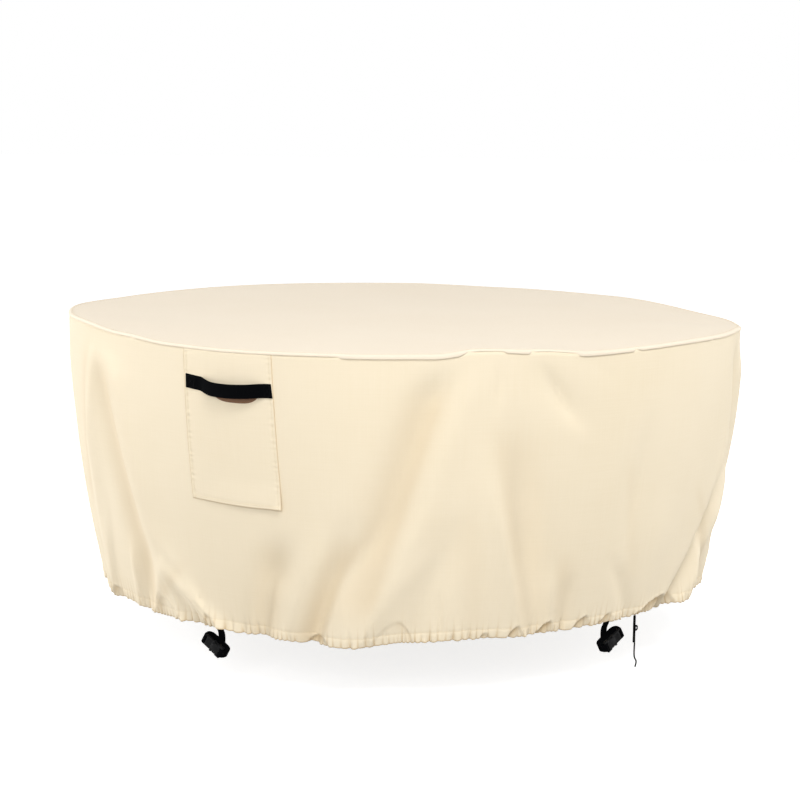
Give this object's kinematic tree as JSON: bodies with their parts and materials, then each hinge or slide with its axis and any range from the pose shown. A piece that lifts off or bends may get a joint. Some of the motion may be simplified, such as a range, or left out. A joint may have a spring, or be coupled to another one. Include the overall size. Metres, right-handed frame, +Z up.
{
  "type": "patio table cover",
  "caption": "Round fitted outdoor cover with a flat welted top, a gathered hollow skirt, a vent flap with a webbing handle, buckle straps and a drawcord.",
  "frame": {"origin": "under the middle of the top, on the face that rests on what the cover is put over", "axes": "+Z up through the top, -Y towards the front with the straps, +X to the right seen from the front"},
  "size_m": [2.1452, 2.1426, 0.9781],
  "materials": {
    "cream_cloth": "coated woven polyester, matte",
    "black_webbing": "ribbed webbing, matte",
    "brown_pad": "woven, matte",
    "black_plastic": "moulded, satin",
    "black_cord": "braided cord, matte"
  },
  "bodies": {
    "root": {"top_panel": "cream_cloth", "skirt": "cream_cloth", "vent_flap": "cream_cloth", "handle_strap": "black_webbing", "grip_pad": "brown_pad", "left_strap_tab": "black_webbing", "left_strap_loop": "black_webbing", "left_buckle_housing": "black_plastic", "left_buckle_clip": "black_plastic", "right_strap_tab": "black_webbing", "right_strap_loop": "black_webbing", "right_buckle_housing": "black_plastic", "right_buckle_clip": "black_plastic", "drawcord_long_end": "black_cord", "drawcord_short_end": "black_cord", "drawcord_knot": "black_cord"}
  },
  "joints": []
}
